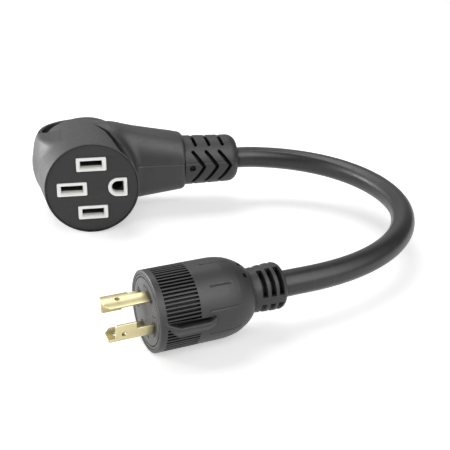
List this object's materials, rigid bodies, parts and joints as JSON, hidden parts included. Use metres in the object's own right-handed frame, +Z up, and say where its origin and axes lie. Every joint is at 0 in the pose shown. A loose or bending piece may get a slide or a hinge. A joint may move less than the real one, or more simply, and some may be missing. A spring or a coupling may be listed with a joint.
{
  "type": "power cord adapter",
  "caption": "Short heavy power cord with a right-angle straight-blade socket head with a pull handle at one end and a round twist-lock plug at the other.",
  "frame": {"origin": "centre of the receptacle face; the resting plane of both ends is 36.5 mm below it", "axes": "+X from the receptacle head along its side arm towards the cord, +Y back from the receptacle face, +Z up"},
  "size_m": [0.2819, 0.3058, 0.073],
  "materials": {
    "housing": "satin moulded black",
    "boot": "soft satin black",
    "socket_face": "matte black",
    "plug_face": "matte grey",
    "carrier": "matte",
    "white_insert": "satin white",
    "brass": "bright pale brass",
    "steel": "plain crimped",
    "jacket": "smooth satin black",
    "core_black": "gloss",
    "core_red": "gloss",
    "core_white": "gloss",
    "core_green": "gloss"
  },
  "bodies": {
    "receptacle": {"receptacle_housing": "housing", "receptacle_face": "socket_face", "receptacle_carrier": "carrier", "line_x_collar": "white_insert", "line_y_collar": "white_insert", "neutral_collar": "white_insert", "ground_collar": "white_insert", "line_x_contact": "brass", "line_y_contact": "brass", "neutral_contact": "brass", "ground_contact": "brass", "line_x_lead": "core_black", "line_y_lead": "core_red", "neutral_lead": "core_white", "ground_lead": "core_green", "receptacle_ferrule": "steel", "receptacle_boot": "boot", "receptacle_cord_end": "jacket"},
    "cord_1": {"cord_jacket_1": "jacket", "cord_cores_1": "core_green"},
    "cord_2": {"cord_jacket_2": "jacket", "cord_cores_2": "core_green"},
    "cord_3": {"cord_jacket_3": "jacket", "cord_cores_3": "core_green"},
    "cord_4": {"cord_jacket_4": "jacket", "cord_cores_4": "core_green"},
    "cord_5": {"cord_jacket_5": "jacket", "cord_cores_5": "core_green"},
    "cord_6": {"cord_jacket_6": "jacket", "cord_cores_6": "core_green"},
    "cord_7": {"cord_jacket_7": "jacket", "cord_cores_7": "core_green"},
    "cord_8": {"cord_jacket_8": "jacket", "cord_cores_8": "core_green"},
    "cord_9": {"cord_jacket_9": "jacket", "cord_cores_9": "core_green"},
    "cord_10": {"cord_jacket_10": "jacket", "cord_cores_10": "core_green"},
    "cord_11": {"cord_jacket_11": "jacket", "cord_cores_11": "core_green"},
    "cord_12": {"cord_jacket_12": "jacket", "cord_cores_12": "core_green"},
    "cord_13": {"cord_jacket_13": "jacket", "cord_cores_13": "core_green"},
    "cord_14": {"cord_jacket_14": "jacket", "cord_cores_14": "core_green"},
    "plug": {"plug_housing": "housing", "plug_face": "plug_face", "plug_carrier": "carrier", "plug_line_x_blade": "brass", "plug_line_y_blade": "brass", "plug_neutral_blade": "brass", "plug_ground_blade": "brass", "plug_line_x_lead": "core_black", "plug_line_y_lead": "core_red", "plug_neutral_lead": "core_white", "plug_ground_lead": "core_green", "plug_ferrule": "steel", "plug_boot": "boot", "plug_cord_end": "jacket"}
  },
  "joints": [
    {"name": "cord_lift_receptacle", "type": "hinge", "parent": "receptacle", "child": "cord_1", "pos_m": [0.1291, 0.054, 0], "axis": [0, -1, 0], "range_deg": [-15, 15]},
    {"name": "bend_1", "type": "hinge", "parent": "cord_1", "child": "cord_2", "pos_m": [0.1431, 0.054, -0.00089], "axis": [0, 0, 1], "range_deg": [-2.3, 15.4]},
    {"name": "bend_2", "type": "hinge", "parent": "cord_2", "child": "cord_3", "pos_m": [0.16923, 0.0468, -0.0019], "axis": [0, 0, 1], "range_deg": [-2.31, 15.41]},
    {"name": "bend_3", "type": "hinge", "parent": "cord_3", "child": "cord_4", "pos_m": [0.19251, 0.03293, -0.00303], "axis": [0, 0, 1], "range_deg": [-2.31, 15.41]},
    {"name": "bend_4", "type": "hinge", "parent": "cord_4", "child": "cord_5", "pos_m": [0.21126, 0.01337, -0.00429], "axis": [0, 0, 1], "range_deg": [-2.31, 15.41]},
    {"name": "bend_5", "type": "hinge", "parent": "cord_5", "child": "cord_6", "pos_m": [0.22415, -0.01047, -0.00564], "axis": [0, 0, 1], "range_deg": [-2.31, 15.41]},
    {"name": "bend_6", "type": "hinge", "parent": "cord_6", "child": "cord_7", "pos_m": [0.23025, -0.03688, -0.00705], "axis": [0, 0, 1], "range_deg": [-2.31, 15.41]},
    {"name": "bend_7", "type": "hinge", "parent": "cord_7", "child": "cord_8", "pos_m": [0.22911, -0.06395, -0.00845], "axis": [0, 0, 1], "range_deg": [-2.3, 16.4]},
    {"name": "bend_8", "type": "hinge", "parent": "cord_8", "child": "cord_9", "pos_m": [0.22038, -0.08961, -0.00974], "axis": [0, 0, 1], "range_deg": [-2.08, 14.76]},
    {"name": "bend_9", "type": "hinge", "parent": "cord_9", "child": "cord_10", "pos_m": [0.2054, -0.11219, -0.0108], "axis": [0, 0, 1], "range_deg": [-1.85, 13.11]},
    {"name": "bend_10", "type": "hinge", "parent": "cord_10", "child": "cord_11", "pos_m": [0.1857, -0.13079, -0.01149], "axis": [0, 0, 1], "range_deg": [-1.62, 11.46]},
    {"name": "bend_11", "type": "hinge", "parent": "cord_11", "child": "cord_12", "pos_m": [0.16269, -0.14512, -0.0117], "axis": [0, 0, 1], "range_deg": [-1.38, 9.81]},
    {"name": "cord_twist", "type": "hinge", "parent": "cord_12", "child": "cord_13", "pos_m": [0.15013, -0.15021, -0.01155], "axis": [-0.9265, -0.3762, 0.0111], "range_deg": [-20, 20]},
    {"name": "bend_12", "type": "hinge", "parent": "cord_13", "child": "cord_14", "pos_m": [0.13758, -0.15531, -0.0114], "axis": [0, 0, 1], "range_deg": [-1.15, 8.16]},
    {"name": "cord_lift_plug", "type": "hinge", "parent": "cord_14", "child": "plug", "pos_m": [0.12178, -0.15924, -0.01088], "axis": [-0.2411, 0.9705, 0], "range_deg": [-15, 15]}
  ],
  "couplings": [
    {"joint": "bend_2", "follows": "bend_1", "ratio": 1},
    {"joint": "bend_3", "follows": "bend_1", "ratio": 1},
    {"joint": "bend_4", "follows": "bend_1", "ratio": 1},
    {"joint": "bend_5", "follows": "bend_1", "ratio": 1},
    {"joint": "bend_6", "follows": "bend_1", "ratio": 1},
    {"joint": "bend_8", "follows": "bend_7", "ratio": 0.89939},
    {"joint": "bend_9", "follows": "bend_7", "ratio": 0.79878},
    {"joint": "bend_10", "follows": "bend_7", "ratio": 0.69817},
    {"joint": "bend_11", "follows": "bend_7", "ratio": 0.59756},
    {"joint": "bend_12", "follows": "bend_7", "ratio": 0.49695}
  ]
}
